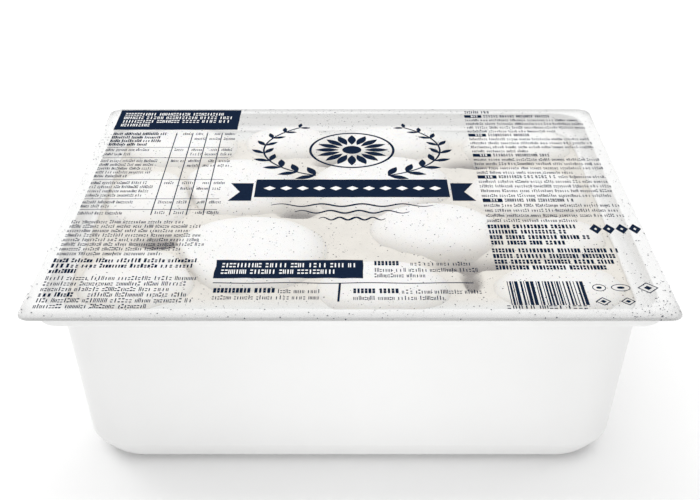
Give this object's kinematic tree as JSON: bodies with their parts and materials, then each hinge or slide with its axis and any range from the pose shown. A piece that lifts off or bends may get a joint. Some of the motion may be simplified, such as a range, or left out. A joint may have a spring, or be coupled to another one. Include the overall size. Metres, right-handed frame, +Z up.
{
  "type": "mozzarella tray pack",
  "caption": "Sealed white thermoformed food tray with a stepped wall and a flat flange, a clear printed lidding film, and soft pressed mozzarella pieces under it.",
  "frame": {"origin": "centre of the tray's bounding box at the level of its base", "axes": "+X along the tray's long side, +Y towards its back, +Z up"},
  "size_m": [0.14, 0.115, 0.0463],
  "materials": {
    "tray_plastic": "satin white thermoformed sheet",
    "clear_film": "clear glossy lidding film",
    "film_print": "dark navy ink printed on the film",
    "fresh_cheese": "moist soft white cheese",
    "shaded_cheese": "dull cream filling seen between the pieces, darker in its hollows"
  },
  "bodies": {
    "root": {"tray": "tray_plastic", "lid_film": "clear_film", "lower_fill": "shaded_cheese", "mozzarella_01": "fresh_cheese", "mozzarella_02": "fresh_cheese", "mozzarella_03": "fresh_cheese", "mozzarella_04": "fresh_cheese", "mozzarella_05": "fresh_cheese", "mozzarella_06": "fresh_cheese", "mozzarella_07": "fresh_cheese", "mozzarella_08": "fresh_cheese", "mozzarella_09": "fresh_cheese", "mozzarella_10": "fresh_cheese", "mozzarella_11": "fresh_cheese", "mozzarella_12": "fresh_cheese", "mozzarella_13": "fresh_cheese", "mozzarella_14": "fresh_cheese"}
  },
  "joints": []
}
